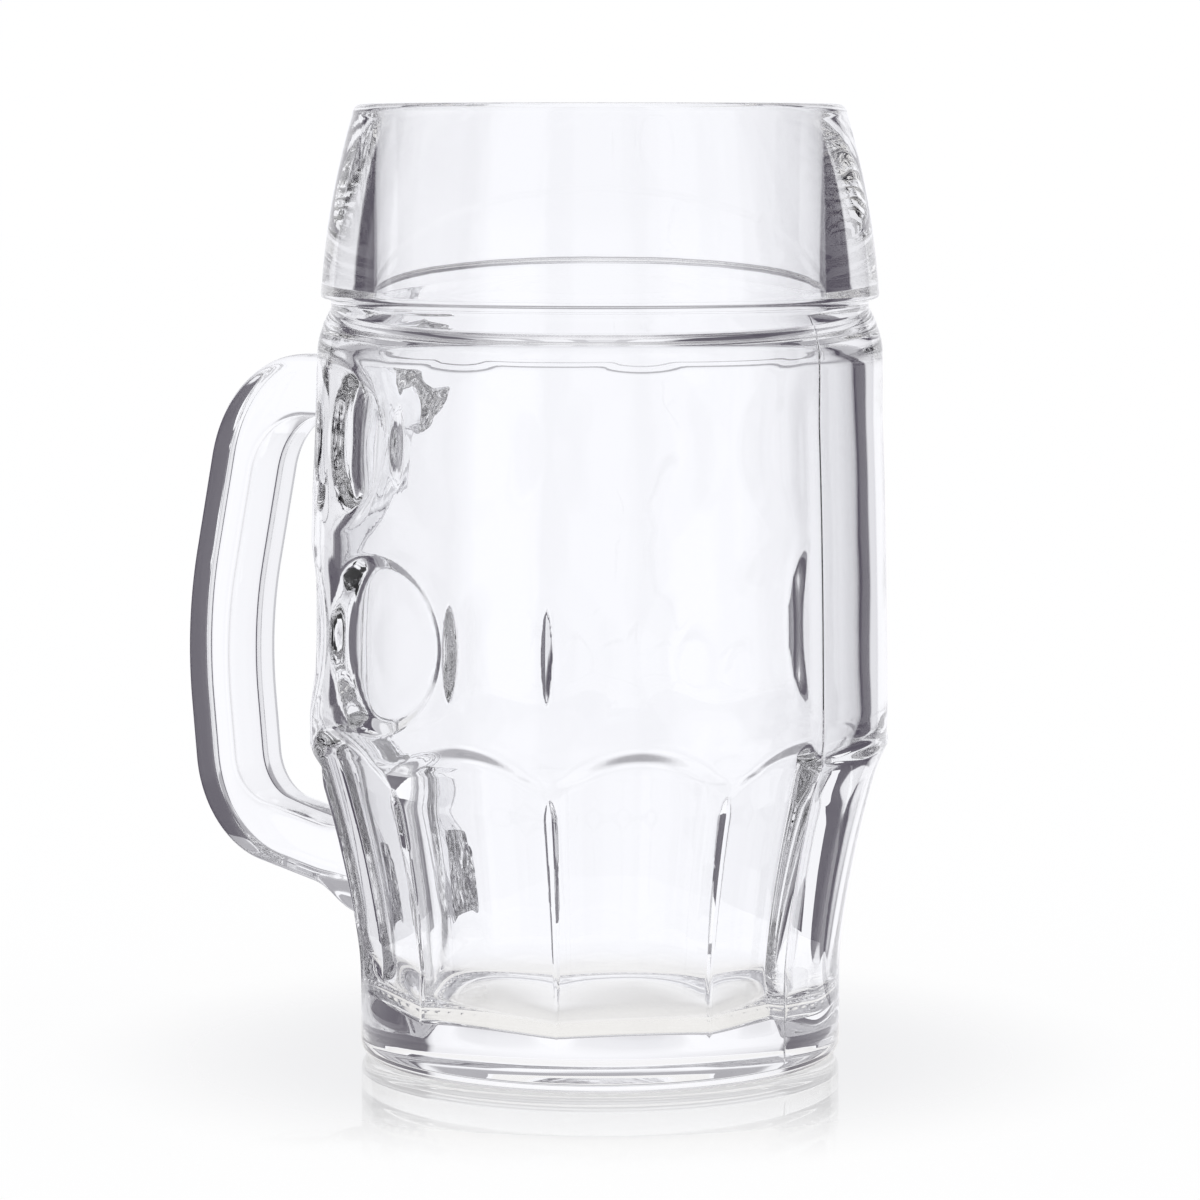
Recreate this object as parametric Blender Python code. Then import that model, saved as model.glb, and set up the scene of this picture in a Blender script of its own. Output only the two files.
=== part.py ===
"""Half-litre glass beer mug: a blown body with dimples and flutes, and a handle stuck on hot."""
from math import atan2, cos, pi, radians, sin, sqrt, tan

import bmesh
import bpy
from mathutils import Vector

# Body, outside, in metres from the table up
HEIGHT = 0.145
FOOT_RADIUS = 0.0368
FOOT_ROUND = 0.0022
FOOT_HEIGHT = 0.006
BREAK_HEIGHT = 0.0478
BARREL_RADIUS = 0.0444
BARREL_TOP_RADIUS = 0.0429
SHOULDER_HEIGHT = 0.006
GROOVE_RADIUS = 0.0408
GROOVE_HEIGHT = 0.0013
COLLAR_RADIUS = 0.0424
COLLAR_HEIGHT = 0.0293
COLLAR_EDGE_ROUND = 0.0007
RIM_RADIUS = 0.0374
FLUTE_SWEEP = 0.28

# Body, inside
MOUTH_RADIUS = 0.0345
NECK_DROP = 0.007
NECK_HEIGHT = 0.008
BARREL_WALL = 0.0045
BOWL_WALL = 0.0057
FLOOR_HEIGHT = 0.007
FLOOR_CORNER = 0.006

# Underside: a flat bearing ring round a shallow recess
RECESS_RADIUS = 0.0316
RECESS_DEPTH = 0.0020

# Pattern: flat flutes at the bottom, two staggered rows of dimples on one half of the barrel
FLUTE_COUNT = 10
FLUTE_TURN = radians(13.6)
FLUTE_RIDGE_ROUND = 0.0006
FLUTE_ARCH = 0.005
FLUTE_TOP_RISE = 0.002
FLUTE_TOP_STEP = 0.006
FLUTE_BOTTOM_GAP = 0.0015
FLUTE_BOTTOM_STEP = 0.003
DIMPLE_DEPTH = 0.0016
DIMPLE_EDGE = 0.00045
DIMPLE_RIDGE = 0.0045
DIMPLE_POWER = 2.4
PLAIN_DROP = 0.0004
SEAM_BLEND = radians(5.0)

# Handle: the centre line's corners are rounded, and the section swells towards the body
HANDLE_TOP_DROP = 0.0078
HANDLE_FOOT_HEIGHT = 0.0208
HANDLE_FOOT_RISE = 0.0086
HANDLE_REACH = 0.0818
HANDLE_REACH_HEIGHT = 0.0603
HANDLE_TOP_CORNER = 0.0722
HANDLE_BOTTOM_CORNER = 0.0784
HANDLE_TOP_BEND = 0.017
HANDLE_GRIP_BEND = 0.068
HANDLE_BOTTOM_BEND = 0.013
HANDLE_DEPTH = 0.0110
HANDLE_WIDTH = 0.0135
HANDLE_EDGE_ROUND = 0.0045
HANDLE_FLARE = 0.16
HANDLE_FLARE_LENGTH = 0.018
HANDLE_ROOT = 0.030

# Air between the two glass pieces, and the fineness of the meshes
CLEARANCE = 0.0003
STEPS_PER_FLUTE = 8
ARC_STEPS = 4
EDGE_STEPS = 3
BEND_STEPS = 7

# Heights worked out from the sizes above
COLLAR_BOTTOM = HEIGHT - COLLAR_HEIGHT
GROOVE_BOTTOM = COLLAR_BOTTOM - GROOVE_HEIGHT
BARREL_TOP = GROOVE_BOTTOM - SHOULDER_HEIGHT
NECK_TOP = COLLAR_BOTTOM - NECK_DROP
NECK_BOTTOM = NECK_TOP - NECK_HEIGHT
LIP_RADIUS = (RIM_RADIUS - MOUTH_RADIUS) / 2
FLUTE_TOP = BREAK_HEIGHT + FLUTE_TOP_RISE
FLUTE_HALF_ANGLE = pi / FLUTE_COUNT
ROW_HEIGHT = (BARREL_TOP - FLUTE_TOP) / 2


def smooth_step(value):
    """Goes from 0 to 1 with level ends."""
    share = min(max(value, 0.0), 1.0)
    return share * share * (3 - 2 * share)


def soft_positive(value, edge):
    """Keeps the positive part of a value, with its corner rounded."""
    return (value + sqrt(value * value + edge * edge)) / 2


def soft_smaller(first, second, edge):
    """The smaller of two values, rounded where they meet."""
    return first - soft_positive(first - second, edge)


def turn_from_nearest(angle, first):
    """Angle from the nearest of the evenly spaced flute lines, the first of which is given."""
    pitch = 2 * FLUTE_HALF_ANGLE
    return (angle - first + FLUTE_HALF_ANGLE) % pitch - FLUTE_HALF_ANGLE


def arc(centre, radius, start, end, steps):
    """Points (radius, height) on an arc, both ends included."""
    turns = [start + (end - start) * step / steps for step in range(steps + 1)]
    return [(centre[0] + radius * cos(turn), centre[1] + radius * sin(turn)) for turn in turns]


def between(low, high, count):
    """Evenly spaced values inside a span, without its ends."""
    return [low + (high - low) * step / (count + 1) for step in range(1, count + 1)]


def round_outside(height):
    """Radius of the barrel and of the flutes' ridge line, before anything is pressed in."""
    if height >= BREAK_HEIGHT:
        share = (height - BREAK_HEIGHT) / (BARREL_TOP - BREAK_HEIGHT)
        return BARREL_RADIUS + (BARREL_TOP_RADIUS - BARREL_RADIUS) * share * share
    share = max(height - FOOT_HEIGHT, 0.0) / (BREAK_HEIGHT - FOOT_HEIGHT)
    sweep = FLUTE_SWEEP * share + (1 - FLUTE_SWEEP) * share * share
    return FOOT_RADIUS + (BARREL_RADIUS - FOOT_RADIUS) * sweep


def flute_depth(angle, height):
    """How far a flat flute lies inside the ridge line, with an arched top and a rounded bottom."""
    turn = turn_from_nearest(angle, FLUTE_TURN + FLUTE_HALF_ANGLE)
    across = (turn / FLUTE_HALF_ANGLE) ** 2
    ridge = round_outside(height)
    flat = ridge * cos(FLUTE_HALF_ANGLE)
    next_flat = flat / cos(2 * FLUTE_HALF_ANGLE - abs(turn))
    depth = ridge - soft_smaller(flat / cos(turn), next_flat, FLUTE_RIDGE_ROUND)
    top = FLUTE_TOP - FLUTE_ARCH * across
    bottom = FOOT_HEIGHT + FLUTE_BOTTOM_GAP + FLUTE_ARCH * across
    opening = smooth_step((top - height) / FLUTE_TOP_STEP)
    return depth * opening * smooth_step((height - bottom) / FLUTE_BOTTOM_STEP + 1)


def row_depth(angle, height, middle, first):
    """How far one row of dimples lies inside the barrel."""
    half_width = BARREL_RADIUS * FLUTE_HALF_ANGLE - DIMPLE_RIDGE / 2
    half_height = ROW_HEIGHT / 2
    across = abs(BARREL_RADIUS * turn_from_nearest(angle, first) / half_width)
    along = abs((height - middle) / half_height)
    away = (across ** DIMPLE_POWER + along ** DIMPLE_POWER) ** (2 / DIMPLE_POWER)
    return soft_positive(DIMPLE_DEPTH * (1 - away), DIMPLE_EDGE)


def dimple_depth(angle, height):
    """Both rows of dimples on the half beside the handle, and the plain half past the two seams."""
    past_seam = min(angle % (2 * pi), pi - angle % (2 * pi))
    share = smooth_step(past_seam / SEAM_BLEND)
    lower = row_depth(angle, height, FLUTE_TOP + ROW_HEIGHT / 2, FLUTE_TURN)
    upper = row_depth(angle, height, BARREL_TOP - ROW_HEIGHT / 2, FLUTE_TURN + FLUTE_HALF_ANGLE)
    inside = smooth_step((height - BREAK_HEIGHT) / FLUTE_TOP_RISE)
    return inside * (share * max(lower, upper) + (1 - share) * PLAIN_DROP)


def pressed_radius(angle, height):
    """Outside radius of the body below its groove, with the pattern pressed in."""
    return round_outside(height) - flute_depth(angle, height) - dimple_depth(angle, height)


def wall(height):
    """Wall between the ridge line and the inside: thick in the bowl, thinner in the barrel."""
    share = smooth_step((height - BREAK_HEIGHT) / FLUTE_TOP_STEP + 1)
    return BOWL_WALL + (BARREL_WALL - BOWL_WALL) * share


def inside_radius(height):
    """Radius of the hollow between the floor's corner and the mouth."""
    share = smooth_step((height - NECK_BOTTOM) / (NECK_TOP - NECK_BOTTOM))
    below = round_outside(min(height, BARREL_TOP)) - wall(height)
    return below + (MOUTH_RADIUS - below) * share


def pressed_heights():
    """Heights of the rows of points that take the pattern, from the foot up to the barrel's top."""
    flute_foot = FOOT_HEIGHT + FLUTE_BOTTOM_GAP + FLUTE_BOTTOM_STEP
    flute_head = FLUTE_TOP - FLUTE_TOP_STEP
    heights = [FOOT_HEIGHT] + between(FOOT_HEIGHT, flute_foot, 2)
    heights += [flute_foot] + between(flute_foot, flute_head, 4)
    heights += [flute_head] + between(flute_head, FLUTE_TOP, 3)
    return heights + [FLUTE_TOP] + between(FLUTE_TOP, BARREL_TOP, 18) + [BARREL_TOP]


def foot_profile():
    """Rounded lower edge of the foot, from the bearing ring outwards."""
    return arc((FOOT_RADIUS - FOOT_ROUND, FOOT_ROUND), FOOT_ROUND, -pi / 2, 0, EDGE_STEPS)


def collar_profile():
    """Groove, collar and lip, from the barrel's top up to the mouth."""
    edge = COLLAR_EDGE_ROUND
    lip_centre = (RIM_RADIUS - LIP_RADIUS, HEIGHT - LIP_RADIUS)
    shoulder_middle = ((BARREL_TOP_RADIUS + GROOVE_RADIUS) / 2 + edge / 2, BARREL_TOP + SHOULDER_HEIGHT / 2)
    points = [shoulder_middle, (GROOVE_RADIUS, GROOVE_BOTTOM), (GROOVE_RADIUS, COLLAR_BOTTOM - edge / 2)]
    points += arc((COLLAR_RADIUS - edge, COLLAR_BOTTOM + edge), edge, -pi / 2, 0, EDGE_STEPS)
    for height in between(COLLAR_BOTTOM + edge, lip_centre[1], 3):
        share = (height - COLLAR_BOTTOM) / (lip_centre[1] - COLLAR_BOTTOM)
        points.append((COLLAR_RADIUS + (RIM_RADIUS - COLLAR_RADIUS) * share * share, height))
    return points + arc(lip_centre, LIP_RADIUS, 0, pi, ARC_STEPS + 2)


def inside_profile():
    """Hollow from below the lip down to the middle of the floor."""
    low = FLOOR_HEIGHT + FLOOR_CORNER
    heights = [NECK_TOP] + between(NECK_TOP, NECK_BOTTOM, 3) + [NECK_BOTTOM]
    heights += between(NECK_BOTTOM, FLUTE_TOP, 3) + [FLUTE_TOP]
    heights += between(FLUTE_TOP, BREAK_HEIGHT - FLUTE_TOP_STEP, 2)
    heights += [BREAK_HEIGHT - FLUTE_TOP_STEP] + between(BREAK_HEIGHT - FLUTE_TOP_STEP, low, 3)
    points = [(inside_radius(height), height) for height in heights]
    corner = (inside_radius(low) - FLOOR_CORNER, low)
    return points + arc(corner, FLOOR_CORNER, 0, -pi / 2, ARC_STEPS) + [(0, FLOOR_HEIGHT)]


def underside_profile():
    """Recess from the middle out to the bearing ring."""
    shares = [0, 0.5, 0.85, 1]
    return [(RECESS_RADIUS * share, RECESS_DEPTH * (1 - share ** 4)) for share in shares]


def spin_profile(name, points):
    """Spins a profile once round the upright axis, with points on every flute ridge."""
    mesh = bpy.data.meshes.new(name)
    shape = bmesh.new()
    turn = Vector((cos(FLUTE_TURN), sin(FLUTE_TURN), 0))
    verts = [shape.verts.new(turn * radius + Vector((0, 0, height))) for radius, height in points]
    edges = [shape.edges.new(pair) for pair in zip(verts, verts[1:])]
    bmesh.ops.spin(shape, geom=verts + edges, cent=(0, 0, 0), axis=(0, 0, 1), angle=2 * pi,
                   steps=FLUTE_COUNT * STEPS_PER_FLUTE, use_merge=True)
    bmesh.ops.remove_doubles(shape, verts=shape.verts, dist=1e-6)
    bmesh.ops.recalc_face_normals(shape, faces=shape.faces)
    shape.to_mesh(mesh)
    shape.free()
    thing = bpy.data.objects.new(name, mesh)
    bpy.context.collection.objects.link(thing)
    return thing


def press_pattern(thing, extra):
    """Moves the outer points of the barrel and the flutes in to the pattern's radius."""
    for vertex in thing.data.vertices:
        place = vertex.co
        radius = place.xy.length
        low = FOOT_HEIGHT - CLEARANCE / 2
        if low < place.z < BARREL_TOP + CLEARANCE / 2 and radius > inside_radius(place.z) + CLEARANCE:
            scale = (pressed_radius(atan2(place.y, place.x), place.z) + extra) / radius
            place.x *= scale
            place.y *= scale


def make_body():
    """The blown body: one glass wall from the recess, over the lip, to the floor inside."""
    barrel = [(round_outside(height), height) for height in pressed_heights()]
    points = underside_profile() + foot_profile() + barrel + collar_profile() + inside_profile()
    body = spin_profile("mug_body", points)
    press_pattern(body, 0)
    return body


def make_cutter():
    """Guide shape that trims the handle: the body's outside, filled and grown by the clearance."""
    barrel = [(round_outside(height) + CLEARANCE, height) for height in pressed_heights()]
    points = [(0, FOOT_HEIGHT / 2), (FOOT_RADIUS + CLEARANCE, FOOT_HEIGHT / 2)]
    points += barrel + [(0, BARREL_TOP)]
    cutter = spin_profile("body_outside_guide", points)
    press_pattern(cutter, CLEARANCE)
    cutter.hide_render = True
    cutter.display_type = "WIRE"
    return cutter


def rounded_corner(before, corner, after, radius):
    """Points of the arc that rounds one corner of a path."""
    back = (before - corner).normalized()
    ahead = (after - corner).normalized()
    half = back.angle(ahead) / 2
    middle = corner + (back + ahead).normalized() * (radius / sin(half))
    start = corner + back * (radius / tan(half)) - middle
    end = corner + ahead * (radius / tan(half)) - middle
    whole = start.angle(end)
    turns = [whole * step / BEND_STEPS for step in range(BEND_STEPS + 1)]
    return [middle + (start * sin(whole - turn) + end * sin(turn)) / sin(whole) for turn in turns]


def handle_path():
    """Centre line of the handle in the XZ plane, from its upper root to its lower one."""
    top = BARREL_TOP - HANDLE_TOP_DROP
    lower = HANDLE_FOOT_HEIGHT + HANDLE_FOOT_RISE
    corners = [Vector((HANDLE_ROOT, 0, top)), Vector((HANDLE_TOP_CORNER, 0, top)),
               Vector((HANDLE_REACH, 0, HANDLE_REACH_HEIGHT)),
               Vector((HANDLE_BOTTOM_CORNER, 0, lower)), Vector((HANDLE_ROOT, 0, HANDLE_FOOT_HEIGHT))]
    bends = [HANDLE_TOP_BEND, HANDLE_GRIP_BEND, HANDLE_BOTTOM_BEND]
    path = [corners[0]]
    for number, bend in enumerate(bends):
        path += rounded_corner(corners[number], corners[number + 1], corners[number + 2], bend)
    return path + [corners[-1]]


def handle_stations():
    """Path points with extra ones on the two limbs, where the section swells."""
    path = handle_path()
    first = [path[0].lerp(path[1], share) for share in (0, 0.45, 0.65, 0.82)]
    last = [path[-2].lerp(path[-1], share) for share in (0.2, 0.4, 0.55, 0.7, 1)]
    return first + path[1:-1] + last


def section(scale):
    """Rounded oblong section as (across the path, sideways) pairs."""
    half_depth = HANDLE_DEPTH * scale / 2
    half_width = HANDLE_WIDTH * scale / 2
    edge = HANDLE_EDGE_ROUND * scale
    points = []
    for number, (over, side) in enumerate([(1, 1), (-1, 1), (-1, -1), (1, -1)]):
        corner = (over * (half_depth - edge), side * (half_width - edge))
        points += arc(corner, edge, number * pi / 2, (number + 1) * pi / 2, ARC_STEPS)
    return points


def make_handle(cutter):
    """The handle: a solid glass bar swept along its path and trimmed where it meets the body."""
    stations = handle_stations()
    mesh = bpy.data.meshes.new("handle")
    shape = bmesh.new()
    rings = []
    for number, place in enumerate(stations):
        before = stations[max(number - 1, 0)]
        after = stations[min(number + 1, len(stations) - 1)]
        ahead = (after - before).normalized()
        over = Vector((ahead.z, 0, -ahead.x))
        outside = place.x - BARREL_RADIUS
        swell = 1 + HANDLE_FLARE * (1 - smooth_step(outside / HANDLE_FLARE_LENGTH))
        ring = [place - over * up + Vector((0, side, 0)) for up, side in section(swell)]
        rings.append([shape.verts.new(point) for point in ring])
    for near, far in zip(rings, rings[1:]):
        for step in range(len(near)):
            shape.faces.new((near[step - 1], near[step], far[step], far[step - 1]))
    shape.faces.new(rings[0])
    shape.faces.new(rings[-1])
    bmesh.ops.recalc_face_normals(shape, faces=shape.faces)
    shape.to_mesh(mesh)
    shape.free()
    handle = bpy.data.objects.new("handle", mesh)
    bpy.context.collection.objects.link(handle)
    trim = handle.modifiers.new("trim at the body", "BOOLEAN")
    trim.operation = "DIFFERENCE"
    trim.solver = "EXACT"
    trim.object = cutter
    return handle


def glass(name, tint):
    """Clear soda-lime glass."""
    material = bpy.data.materials.new(name)
    material.use_nodes = True
    shader = material.node_tree.nodes["Principled BSDF"]
    shader.inputs["Base Color"].default_value = (*tint, 1)
    shader.inputs["Roughness"].default_value = 0.02
    shader.inputs["Metallic"].default_value = 0
    shader.inputs["IOR"].default_value = 1.52
    shader.inputs["Transmission Weight"].default_value = 1
    return material


def finish(thing, material):
    """Gives a piece its material and smooth shading with crisp edges."""
    thing.data.materials.append(material)
    thing.data.shade_smooth()
    thing.data.set_sharp_from_angle(angle=radians(35))


def main():
    for thing in list(bpy.data.objects):
        bpy.data.objects.remove(thing)
    body = make_body()
    handle = make_handle(make_cutter())
    finish(body, glass("body_glass", (0.97, 0.98, 0.98)))
    finish(handle, glass("handle_glass", (0.96, 0.98, 0.98)))


main()
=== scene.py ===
"""Looks of the glass beer mug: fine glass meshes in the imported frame, a white studio and the camera."""
from math import cos, pi, radians, sin, tan

import bmesh
import bpy
import numpy as np
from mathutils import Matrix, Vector


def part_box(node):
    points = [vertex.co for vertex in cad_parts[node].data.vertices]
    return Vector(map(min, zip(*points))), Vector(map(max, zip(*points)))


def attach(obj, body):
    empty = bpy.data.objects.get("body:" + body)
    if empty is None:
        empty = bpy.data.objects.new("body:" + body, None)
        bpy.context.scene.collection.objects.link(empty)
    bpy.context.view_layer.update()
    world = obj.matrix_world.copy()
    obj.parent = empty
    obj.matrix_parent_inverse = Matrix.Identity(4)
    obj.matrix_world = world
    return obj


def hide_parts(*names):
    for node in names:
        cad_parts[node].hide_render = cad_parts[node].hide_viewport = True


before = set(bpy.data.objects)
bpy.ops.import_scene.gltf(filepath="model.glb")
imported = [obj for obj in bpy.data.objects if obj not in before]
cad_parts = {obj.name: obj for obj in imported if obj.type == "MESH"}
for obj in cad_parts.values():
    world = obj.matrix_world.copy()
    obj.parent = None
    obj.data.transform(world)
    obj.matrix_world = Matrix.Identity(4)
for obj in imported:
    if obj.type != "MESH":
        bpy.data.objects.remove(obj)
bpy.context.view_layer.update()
BODY_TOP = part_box("mug_body")[1].z

# Body, outside, in metres from the table up: the solid's sizes, with a rounder shoulder and collar
FOOT_RADIUS = 0.0368
FOOT_ROUND = 0.0022
FOOT_HEIGHT = 0.006
BREAK_HEIGHT = 0.0478
BARREL_RADIUS = 0.0444
BARREL_TOP_RADIUS = 0.0429
SHOULDER_HEIGHT = 0.006
SHOULDER_SWEEP = 0.35
GROOVE_RADIUS = 0.0408
GROOVE_HEIGHT = 0.0013
COLLAR_RADIUS = 0.0424
COLLAR_HEIGHT = 0.0293
COLLAR_EDGE_ROUND = 0.0007
COLLAR_SWEEP = 0.35
RIM_RADIUS = 0.0374
FLUTE_SWEEP = 0.28

# Body, inside and underneath: the solid's sizes, with a shorter neck
MOUTH_RADIUS = 0.0345
NECK_DROP = 0.0052
NECK_HEIGHT = 0.0045
LEDGE_ROUND = 0.0005
BARREL_WALL = 0.0045
BOWL_WALL = 0.0057
WALL_BLEND = 0.012
FLOOR_HEIGHT = 0.007
FLOOR_CORNER = 0.006
FLOOR_DOME = 0.0005
RECESS_RADIUS = 0.0316
RECESS_DEPTH = 0.0020
RECESS_POWER = 4

# Flutes pressed into the bowl, with a bead on each ridge, and shallower on the plain half
FLUTE_COUNT = 10
FLUTE_TURN = radians(13.6)
FLUTE_RIDGE_ROUND = 0.0006
FLUTE_BEAD = 0.00085
FLUTE_BEAD_WIDTH = 0.0022
FLUTE_BEAD_TOP = 0.0445
FLUTE_BEAD_END = 0.003
FLUTE_BEAD_BOTTOM = 0.010
FLUTE_BEAD_FLANK = 0.6
FLUTE_BEAD_TAPER = 0.7
FLUTE_SINK = 0.0006
FLUTE_ARCH = 0.0055
FLUTE_TOP_RISE = 0.0047
FLUTE_TOP_STEP = 0.0035
FLUTE_PLAIN_STEP = 0.009
FLUTE_PLAIN_ROUND = 0.0012
FLUTE_PLAIN_LOSS = 0.5
FLUTE_BOTTOM = 0.006
FLUTE_BOTTOM_STEP = 0.012

# Dimples pressed into one half of the barrel; their rims are crisp near one turn and soft elsewhere
LOWER_ROW_TURN = radians(11.0)
LOWER_ROW_LAST = 4
DIMPLE_RIM_DEPTH = 0.0021
DIMPLE_RIM_WIDTH = 0.0023
DIMPLE_BOWL_DEPTH = 0.0003
DIMPLE_SOFT_WIDTH = 0.0045
DIMPLE_SOFT_LOSS = 0.7
DIMPLE_CRISP_TURN = radians(75.3)
DIMPLE_CRISP_REACH = radians(9.5)
DIMPLE_SOFT_SPAN = radians(16)
DIMPLE_SOFT_TURN = radians(80)
DIMPLE_RIDGE = 0.0012
DIMPLE_RISE = 0.0012
ROWS_RISE = 0.002
DIMPLE_INSIDE_SHARE = 0.3
DIMPLE_INSIDE_RIM = 0.009
DIMPLE_INSIDE_SPREAD = 0.002
PLAIN_DROP = 0.0004
PLAIN_FADE = 0.012
SEAM_BLEND = radians(5.0)
SEAM_UPPER_BLEND = radians(16)
HANDLE_BLEND = radians(34)

# Lifted last dimple of the lower row and its edge at the seam
SEAM_LAND_TURN = radians(170.6)
SEAM_LAND_RIM = radians(2.6)
SEAM_LAND_TIP = radians(0.6)
SEAM_LAND_BOW = radians(6.0)
SEAM_LAND_LIFT = 0.0032
SEAM_LAND_LIFT_SPAN = radians(14)

# Marks of the mould and of the hot glass; each blister has a turn round the body and a width
SEAM_RIB_HEIGHT = 0.00012
SEAM_RIB_WIDTH = 0.0003
MOULD_LINE_HEIGHT = 0.0036
MOULD_LINE_RIB = 0.0001
MOULD_LINE_WIDTH = 0.0003
NOTCH_COUNT = 64
NOTCH_DEPTH = 0.00025
BLISTERS = [(radians(121.4), 0.0018), (radians(101.95), 0.0025)]
BLISTER_HEIGHT = 0.0654
BLISTER_LENGTH = 0.014
BLISTER_SLOPE = 1.33
WAVE_SLOPE = 0.0014
WAVE_COUNT = 18
WAVE_LENGTH = 0.016
WAVE_LEAST_LOBES = 2
WAVE_LOBES_END = 15
OUTSIDE_SEED = 3
INSIDE_SEED = 5

# Handle: the solid's path, with a slimmer, boxier section that is ragged at both roots
HANDLE_TOP_DROP = 0.0078
HANDLE_FOOT_HEIGHT = 0.0208
HANDLE_FOOT_RISE = 0.0086
HANDLE_REACH = 0.0818
HANDLE_REACH_HEIGHT = 0.0603
HANDLE_TOP_CORNER = 0.0722
HANDLE_BOTTOM_CORNER = 0.0784
HANDLE_TOP_BEND = 0.017
HANDLE_GRIP_BEND = 0.068
HANDLE_BOTTOM_BEND = 0.013
HANDLE_DEPTH = 0.0100
HANDLE_WIDTH = 0.0114
HANDLE_POWER = 8
HANDLE_TOP_FLARE = 0.05
HANDLE_FOOT_FLARE = 0.2
HANDLE_FLARE_LENGTH = 0.012
HANDLE_RAGGED = 0.18
HANDLE_RAGGED_LOBES = 3
HANDLE_RAGGED_START = 1
HANDLE_SOLID_ROOT = 0.030
HANDLE_TOP_ROOT = 0.0415
HANDLE_FOOT_ROOT = 0.0355

# Glass, and the grey folds at the fused places
GLASS_TINT = (0.991, 0.994, 1)
GLASS_IOR = 1.51
GRAIN_SCALE = 160
GRAIN_DETAIL = 1
GRAIN_STRENGTH = 0.012
GRAIN_DEPTH = 0.0004
FOLD_COLOUR = (0.16, 0.15, 0.17)
FOLD_ROUGHNESS = 0.5
FOLD_SCALE = 420
FOLD_DETAIL = 3
FOLD_DISTORTION = 1.6
FOLD_FROM = 0.42
FOLD_TO = 0.68
FOLD_COVER = 0.55

# Camera, from the photograph: 1200 pixels a side, seen from a little below the rim's height
VIEW_TURN = radians(131.6)
VIEW_DISTANCE = 0.720
EYE_HEIGHT = 0.140
VIEW_PITCH = radians(5.588)
FOCAL_PIXELS = 4730.4
PHOTO_PIXELS = 1200
SENSOR_WIDTH = 36

# Studio tones: by angle from the backdrop's middle (to the right first) and by height, in degrees
BACKGROUND_TURN = VIEW_TURN + pi
FLAG_COLOUR = (0.09, 0.08, 0.105)
BACKDROP_COLOUR = (1, 1, 1.03)
BESIDE = [(-180, 0.8), (-163, 0.8), (-160, 1), (-113, 1), (-108, 0), (-34, 0), (-31.5, 0.9), (-24, 0.96),
          (-14, 0.98), (0, 1), (14, 0.98), (24, 0.96), (36.5, 0.9), (39, 0), (64, 0), (70, 0.95),
          (160, 1), (163, 0.8), (180, 0.8)]
BESIDE_TONES = [(place / 360 + 0.5, tone) for place, tone in BESIDE]
ABOVE = [(-90, 1), (10, 1), (14, 0.85), (20, 0.35), (50, 0.35), (58, 1), (90, 1)]
ABOVE_TONES = [(place / 180 + 0.5, tone) for place, tone in ABOVE]

# Upright grey strips of the studio, by angle round the mug
STRIP_TURNS = [radians(turn) for turn in (69, 201, 113, 27, 153)]
STRIP_HALF_WIDTH = radians(7)
STRIP_SOFT = radians(2)
STRIP_TONE = 0.6

# Floor, and the table under it that only the glass shows: its reach by angle from the backdrop's middle
FLOOR_DROP = 0.0002
FLOOR_REACHES = [(-180, 6.0), (180, 6.0)]
TABLE_REACHES = [(-180, 0.09), (-78, 0.09), (-76, 0.122), (-66, 0.122), (-64, 0.05), (-48, 0.05),
                 (-46, 0.09), (180, 0.09)]
DISC_STEP = 2
# Painted shade, slightly warm, that darkens the table's glow round the foot
TABLE_SHADE = (0.9, 0.885, 0.86)
SHADE_START = 0.030
SHADE_END = 0.06
SHADOW_SHARE = 0.08
GLOSS_START = 0.036
GLOSS_END = 0.088
GLOSS_SHARE = 0.5
GLOSS_ROUGHNESS = 0.01

# Light bounces that clear glass needs
GLASS_BOUNCES = 48
GLOSS_BOUNCES = 32
CLEAR_BOUNCES = 12

# Mesh fineness
COLUMNS = 320
FINE_COLUMNS = 21
FINE_REACH = 0.0032
ANGLE_DIGITS = 5
PATTERN_STEP = 0.0004
INSIDE_STEP = 1.5 * PATTERN_STEP
PLAIN_STEP = 0.0008
ARC_STEPS = 12
SHOULDER_ROWS = 20
NECK_ROWS = 20
DISC_ROWS = 26
RING_ROWS = 8
RECESS_FIRST_SHARE = 0.04
FLOOR_LAST_SHARE = 0.05
SECTION_POINTS = 56
HANDLE_STEP = 0.0008
STITCH_GAP = 0.000002
SHARP_ANGLE = radians(40)

# Heights worked out from the sizes above
COLLAR_BOTTOM = BODY_TOP - COLLAR_HEIGHT
GROOVE_BOTTOM = COLLAR_BOTTOM - GROOVE_HEIGHT
BARREL_TOP = GROOVE_BOTTOM - SHOULDER_HEIGHT
NECK_TOP = COLLAR_BOTTOM - NECK_DROP
NECK_BOTTOM = NECK_TOP - NECK_HEIGHT
LIP_RADIUS = (RIM_RADIUS - MOUTH_RADIUS) / 2
FLUTE_TOP = BREAK_HEIGHT + FLUTE_TOP_RISE
FLUTE_HALF_ANGLE = pi / FLUTE_COUNT
ROWS_BOTTOM = BREAK_HEIGHT + ROWS_RISE
ROW_HEIGHT = (BARREL_TOP - ROWS_BOTTOM) / 2


def smooth_step(value):
    """Goes from 0 to 1 with level ends."""
    share = np.clip(value, 0, 1)
    return share * share * (3 - 2 * share)


def soft_positive(value, edge):
    """Keeps the positive part of a value, with its corner rounded."""
    return (value + np.sqrt(value * value + edge * edge)) / 2


def soft_smaller(first, second, edge):
    """The smaller of two values, rounded where they meet."""
    return first - soft_positive(first - second, edge)


def bell(offset, width):
    """A smooth hump, 1 in the middle, about as wide as given."""
    return np.exp(-(2 * offset / width) ** 2)


def turn_from_nearest(angle, first, count):
    """Angle from the nearest of evenly spaced lines round the body, the first of which is given."""
    half = pi / count
    return (angle - first + half) % (2 * half) - half


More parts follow.
